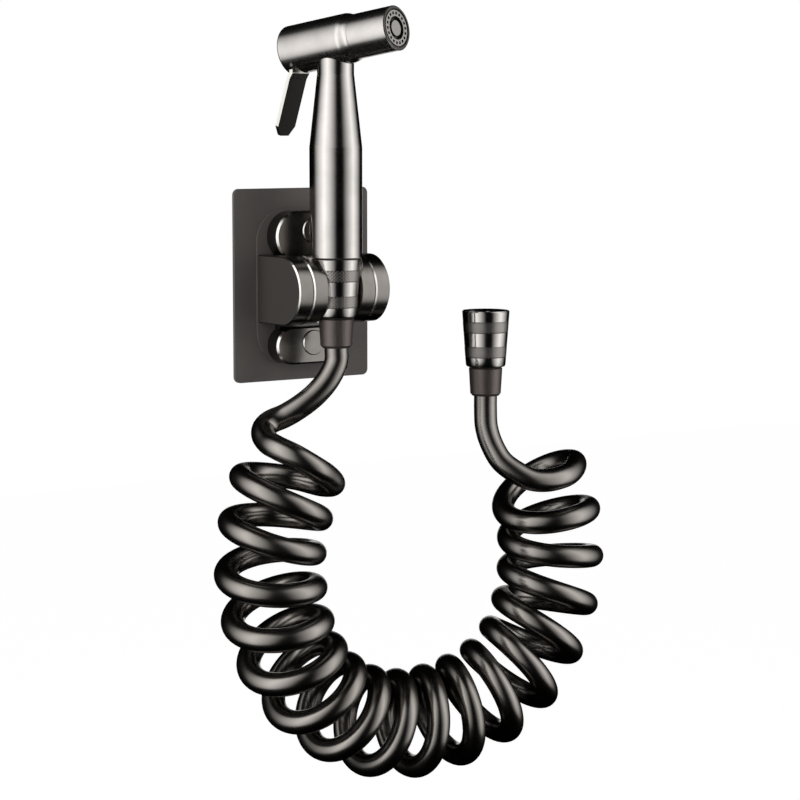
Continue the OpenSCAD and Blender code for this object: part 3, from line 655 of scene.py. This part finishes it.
def dark_satin_gunmetal(tree, place):
    # The coating on turned and crimped brass sleeves: darker and duller, with faint lines along the sleeve
    lines = grain(tree, place, 0.0005, stretch=(1, 1, 20))
    return add(tree, "BsdfPrincipled", {
        "Base Color": tint(tree, lines, "#544d49", "#5e5754"),
        "Metallic": 0.75,
        "Roughness": spread(tree, lines, 0.36, 0.44),
        "Normal": bumped(tree, lines, 0.000004),
    }).outputs[0]  # fmt: skip


def near_axis(tree, place, across, through, radius):
    """1 within the radius of an axis; across is 1 for the two coordinates that it doesn't run along."""
    flattened = add(tree, "VectorMath", {0: place, 1: across}, operation="MULTIPLY").outputs[0]
    away = add(tree, "VectorMath", {0: flattened, 1: through}, operation="DISTANCE").outputs["Value"]
    return maths(tree, "LESS_THAN", away, radius)


def smooth_gunmetal(tree, place):
    # The coating on die-cast zinc: a soft mirror on the turned faces, powder-matt on the flat cheeks (those
    # that look along X), and painted highlights, near-white, on the bevels between them and in the cradle's
    # socket
    facing = add(tree, "SeparateXYZ", {0: add(tree, "TexCoord").outputs["Normal"]}).outputs
    flat = maths(tree, "GREATER_THAN", maths(tree, "ABSOLUTE", facing["X"]), FLAT_CHEEK)
    out = maths(tree, "ABSOLUTE", add(tree, "SeparateXYZ", {0: place}).outputs["X"])
    cheek = maths(tree, "MULTIPLY", flat, maths(tree, "GREATER_THAN", out, CHEEK_X))
    slanted = maths(tree, "ABSOLUTE", maths(tree, "MULTIPLY", facing["X"], facing["Y"]))
    # painted highlight on the bevels and in the cradle's socket
    painted_bevel_highlight = maths(tree, "GREATER_THAN", slanted, ON_BEVEL)
    painted_socket_highlight = maths(
        tree, "MULTIPLY",
        near_axis(tree, place, (1, 1, 0), (0, HOSE_Y, 0), SOCKET_R),
        near_axis(tree, place, (0, 1, 1), (0, PIVOT_Y, 0), DISC_INNER_R),
    )  # fmt: skip
    painted_highlight = maths(tree, "MAXIMUM", painted_bevel_highlight, painted_socket_highlight)
    waves = grain(tree, place, 0.006, detail=1.0)
    smear = grain(tree, place, 0.014)
    mirror_and_painted_highlight = mixed(tree, painted_highlight, tint(tree, waves, "#6f6c67", "#76726f"), srgb("#e5e2dd"))
    return add(tree, "BsdfPrincipled", {
        "Base Color": mixed(tree, cheek, mirror_and_painted_highlight, srgb("#322e2b")),
        "Metallic": maths(tree, "MULTIPLY_ADD", cheek, -0.8, 1.0),
        "Roughness": maths(tree, "MULTIPLY_ADD", cheek, 0.35, spread(tree, smear, 0.22, 0.26)),
        "Normal": bumped(tree, waves, 0.00001),
    }).outputs[0]  # fmt: skip


def stamped_lever(tree, place):
    # Sheet steel, stamped and coated dark: its faces dull, with a painted highlight on its sheared edges and
    # its bend's outside
    sideways = maths(tree, "ABSOLUTE", share_along(tree, add(tree, "TexCoord").outputs["Normal"], LEVER_SIDE))
    painted_edge_highlight = maths(tree, "GREATER_THAN", sideways, ON_SHEARED_EDGE)
    painted_bend_highlight = maths(tree, "GREATER_THAN", share_along(tree, from_barrel(tree, place), BARREL_UP), LEVER_BEND)
    painted_highlight = maths(tree, "MAXIMUM", painted_edge_highlight, painted_bend_highlight)
    lines = grain(tree, place, 0.0003, stretch=(1, 1, 12))
    return add(tree, "BsdfPrincipled", {
        "Base Color": mixed(tree, painted_highlight, tint(tree, lines, "#2b2826", "#312e2c"), srgb("#bfbcb7")),
        "Metallic": 1.0,
        "Roughness": maths(tree, "MULTIPLY_ADD", painted_highlight, -0.12, 0.36),
        "Normal": bumped(tree, lines, 0.000001),
    }).outputs[0]  # fmt: skip


def matt_gunmetal(tree, place):
    # Powder-coated steel plate: an even dark grey with the fine orange peel of the coating
    peel = grain(tree, place, 0.0007, detail=2.0)
    smear = grain(tree, place, 0.020)
    return add(tree, "BsdfPrincipled", {
        "Base Color": tint(tree, smear, "#565150", "#5b5754"),
        "Specular IOR Level": 0.15,
        "Roughness": spread(tree, peel, 0.60, 0.68),
        "Normal": bumped(tree, peel, 0.000006),
    }).outputs[0]  # fmt: skip


def coated_hose(tree, place):
    # Coiled polyurethane hose with a metallised skin: dark and glossy, with the die's faint lines along it
    along = add(tree, "UVMap", uv_map="surface").outputs[0]
    lines = grain(tree, along, 0.0008, stretch=(1, 60, 1))
    smear = grain(tree, place, 0.018)
    return add(tree, "BsdfPrincipled", {
        "Base Color": tint(tree, smear, "#78746f", "#817d79"),
        "Metallic": 1.0,
        "Roughness": spread(tree, smear, 0.22, 0.26),
        "Normal": bumped(tree, lines, 0.0000015),
    }).outputs[0]  # fmt: skip


def stainless_steel(tree, place):
    # Turned stainless steel: bright, with fine tool lines
    lines = grain(tree, place, 0.0003, stretch=(1, 10, 10))
    return add(tree, "BsdfPrincipled", {
        "Base Color": tint(tree, lines, "#b4b3b1", "#c2c1be"),
        "Metallic": 1.0,
        "Roughness": spread(tree, lines, 0.24, 0.34),
        "Normal": bumped(tree, lines, 0.000003),
    }).outputs[0]  # fmt: skip


def turned_brass(tree, place):
    # Brass as it leaves the lathe: yellow, with rings of tool marks and a slight tarnish
    lines = grain(tree, place, 0.0003, stretch=(10, 10, 1))
    smear = grain(tree, place, 0.004)
    return add(tree, "BsdfPrincipled", {
        "Base Color": tint(tree, smear, "#b8974f", "#c9a860"),
        "Metallic": 1.0,
        "Roughness": spread(tree, lines, 0.22, 0.34),
        "Normal": bumped(tree, lines, 0.000003),
    }).outputs[0]  # fmt: skip


def nitrile_rubber(tree, place):
    # Black nitrile rubber seals: dull, with moulding grain
    peel = grain(tree, place, 0.0003)
    return add(tree, "BsdfPrincipled", {
        "Base Color": tint(tree, peel, "#161616", "#1e1e1e"),
        "Roughness": spread(tree, peel, 0.55, 0.70),
        "Normal": bumped(tree, peel, 0.000008),
    }).outputs[0]  # fmt: skip


def black_acetal(tree, place):
    # Moulded black acetal washers: a soft low gloss
    peel = grain(tree, place, 0.0004)
    return add(tree, "BsdfPrincipled", {
        "Base Color": tint(tree, peel, "#151515", "#1a1a1a"),
        "Roughness": spread(tree, peel, 0.32, 0.42),
        "Normal": bumped(tree, peel, 0.000004),
    }).outputs[0]  # fmt: skip


def acrylic_foam(tree, place):
    # White acrylic foam tape: matt, with its cells just showing at the cut edge
    cells = add(tree, "TexVoronoi", {"Vector": place, "Scale": 1 / 0.0006}).outputs["Distance"]
    return add(tree, "BsdfPrincipled", {
        "Base Color": tint(tree, cells, "#cfcfc9", "#e2e2dd"),
        "Roughness": spread(tree, cells, 0.75, 0.90),
        "Normal": bumped(tree, cells, 0.00005),
    }).outputs[0]  # fmt: skip


FINISHES = {
    "gunmetal_polished": finish_called("polished_gunmetal_coating", polished_gunmetal),
    "gunmetal_satin": finish_called("brushed_gunmetal_coating", satin_gunmetal),
    "gunmetal_matt": finish_called("gunmetal_powder_coat", matt_gunmetal),
    "steel": finish_called("turned_stainless_steel", stainless_steel),
    "brass": finish_called("turned_brass", turned_brass),
    "seal_rubber": finish_called("black_nitrile_rubber", nitrile_rubber),
    "black_plastic": finish_called("moulded_black_acetal", black_acetal),
    "adhesive": finish_called("white_acrylic_foam", acrylic_foam),
    "hose_plastic": finish_called("metallised_polyurethane_hose", coated_hose),
}
COLLAR_FINISH = finish_called("dark_crimped_sleeve", dark_satin_gunmetal)
BRACKET_FINISH = finish_called("smooth_gunmetal_coating", smooth_gunmetal)
NODE_FINISH = {
    **dict.fromkeys(("hose_collar", "supply_collar", "hose_insert", "supply_insert"), COLLAR_FINISH),
    **dict.fromkeys(("inlet_adapter", "lever_pin"), COLLAR_FINISH),
    **dict.fromkeys(("bracket", "cradle", "screw_caps"), BRACKET_FINISH),
    "lever": finish_called("stamped_gunmetal_lever", stamped_lever),
    "spray_face": finish_called("drilled_spray_disc", drilled_disc(FACE_FRONT)),
    "face_plug": finish_called("spray_centre_plug", drilled_disc(PLUG_FRONT)),
}
SLOTS = {row["node"]: row["material_slot"] for row in frame["record"]["subparts"]}

for name, node in nodes.items():
    for place in node.material_slots:
        place.material = NODE_FINISH.get(name, FINISHES[SLOTS[name]])

build_valve_housing()
build_return_spring()
tail, turns, hanging = build_hose(FINISHES["hose_plastic"])
supply_nut = build_nuts(finish_called("knurled_gunmetal_coating", knurled_gunmetal))
supply_pieces = [nodes[name] for name in ("supply_collar", "supply_insert", "supply_washer", "supply_screen")]

# Each stretch of hose, what is at its far end, how it lies and the pieces on that end; the loop only works
# out each stretch's first point and length, and keeps neither
for (piece, line), end, lay, on_it in (
    (tail, "object", "loose", []),
    (turns, "object", "coiled", []),
    (hanging, "fitting", "hanging", [supply_nut, *supply_pieces]),
):
    tuple(line[0])
    float(np.linalg.norm(np.diff(line, axis=0), axis=1).sum())
    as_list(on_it)  # fmt: skip

# ---------------------------------------------------------------- light, floor and backdrop

LAMP_DISTANCE = 0.75
FALL_ACROSS = 1.6
FLOOR_Z = -1.1
FLOOR_HALF = 6.0
FLOOR_OWN = 0.84  # of the floor's white
FLAG_R = 1.8
FLAG_GAP = 0.02  # over the floor
FLAG_RINGS, FLAG_SIDES = 24, 48
OPENING = 13  # degrees about the line of sight, behind the object
SURROUND = 0.30  # the studio's light on what isn't seen directly
WHITE = (1, 1, 1, 1)


def softbox(name, turn, lift, width, height, radiance):
    """A rectangular lamp aimed at the object, brightest along its middle line and fading out to its sides.

    Turn is in degrees from the camera's own and lift in degrees above the horizontal. Across, the glow falls
    in a straight line to nothing at the sides, raised to a power; up and down it is the square root of a
    sine. The lamp's power gives the radiance in the middle over its whole area.
    """
    data = bpy.data.lights.new(name, "AREA")
    data.shape = "RECTANGLE"
    data.size, data.size_y = width, height
    data.energy = radiance * pi * width * height
    data.use_nodes = True
    tree = data.node_tree
    tree.nodes.clear()
    place = add(tree, "NewGeometry").outputs["Parametric"]
    parts = add(tree, "SeparateXYZ", {0: place}).outputs
    ridge = maths(tree, "MULTIPLY", maths(tree, "PINGPONG", parts["X"], 0.5), 2.0)
    across = maths(tree, "POWER", ridge, FALL_ACROSS)
    arch = maths(tree, "POWER", maths(tree, "SINE", maths(tree, "MULTIPLY", parts["Y"], pi)), 0.5)
    glow = add(tree, "Emission", {"Color": WHITE, "Strength": maths(tree, "MULTIPLY", across, arch)})
    add(tree, "OutputLight", {"Surface": glow.outputs[0]})
    lamp = placed(name, data)
    out = heading(VIEW_TURN + radians(turn), radians(lift))
    lamp.location = VIEW_TARGET + LAMP_DISTANCE * out
    lamp.rotation_euler = out.to_track_quat("Z", "Y").to_euler()
    lamp.visible_camera = False


def seen_directly(tree):
    """1 for camera, glossy and transmission rays."""
    rays = add(tree, "LightPath").outputs
    camera_or_glossy = maths(tree, "MAXIMUM", rays["Is Camera Ray"], rays["Is Glossy Ray"])
    return maths(tree, "MAXIMUM", camera_or_glossy, rays["Is Transmission Ray"])


def white_floor(tree):
    """Pale floor that takes the object's shadow: most of its white is its own, the rest is lit."""
    lit = add(tree, "BsdfDiffuse", {"Color": srgb("#bcbcbc")}).outputs[0]
    own = add(tree, "Emission", {"Color": WHITE, "Strength": FLOOR_OWN}).outputs[0]
    both = add(tree, "AddShader", {0: lit, 1: own}).outputs[0]
    return add(tree, "MixShader", {"Fac": seen_directly(tree), 1: lit, 2: both}).outputs[0]


def stage_mesh(name, points, faces, material):
    mesh = bpy.data.meshes.new(name)
    mesh.from_pydata(points, [], faces)
    mesh.materials.append(material)
    piece = placed(name, mesh)
    return piece


def add_floor():
    points = [(FLOOR_HALF * x, FLOOR_HALF * y, FLOOR_Z) for x, y in ((-1, -1), (1, -1), (1, 1), (-1, 1))]
    stage_mesh("floor", points, [(0, 1, 2, 3)], plain_material("pale_floor", white_floor))


def add_flags():
    """Black cloth round the softboxes, seen only in reflections, open towards the backdrop.

    A sphere round the object in rings about the camera's line of sight, without the cap behind the object
    and cut flat just above the floor.
    """
    away = np.linspace(radians(OPENING), pi, FLAG_RINGS)[:, None, None]
    round_it = np.linspace(0, 2 * pi, FLAG_SIDES)[None, :, None]
    back = np.array(-heading(VIEW_TURN, VIEW_LIFT))
    side = np.cross(back, (0, 0, 1))
    side /= np.linalg.norm(side)
    over = np.cross(side, back)
    grid = np.array(VIEW_TARGET) + FLAG_R * (
        np.cos(away) * back + np.sin(away) * (np.cos(round_it) * side + np.sin(round_it) * over)
    )
    grid[..., 2] = np.maximum(grid[..., 2], FLOOR_Z + FLAG_GAP)
    spots = np.arange(FLAG_RINGS * FLAG_SIDES).reshape(FLAG_RINGS, FLAG_SIDES)
    faces = np.stack([spots[:-1, :-1], spots[:-1, 1:], spots[1:, 1:], spots[1:, :-1]], axis=2).reshape(-1, 4)
    black = plain_material(
        "black_cloth", lambda tree: add(tree, "BsdfDiffuse", {"Color": (0, 0, 0, 1)}).outputs[0]
    )
    flags = stage_mesh("black_flags", grid.reshape(-1, 3).tolist(), faces.tolist(), black)
    flags.visible_camera = False
    flags.visible_diffuse = False
    flags.visible_transmission = False
    flags.visible_shadow = False


world = bpy.data.worlds.new("studio")
world.use_nodes = True
world.node_tree.nodes.clear()
tree = world.node_tree
strength = add(tree, "MapRange", {"Value": seen_directly(tree), "To Min": SURROUND, "To Max": 1.0})
sky = add(tree, "Background", {"Color": WHITE, "Strength": strength.outputs[0]})
add(tree, "OutputWorld", {"Surface": sky.outputs[0]})
bpy.context.scene.world = world
bpy.context.scene.view_settings.view_transform = "Standard"

softbox("left_softbox", turn=-51, lift=14, width=2.12, height=1.70, radiance=2.85)
softbox("right_softbox", turn=80, lift=12, width=1.85, height=1.70, radiance=2.5)
add_flags()
add_floor()
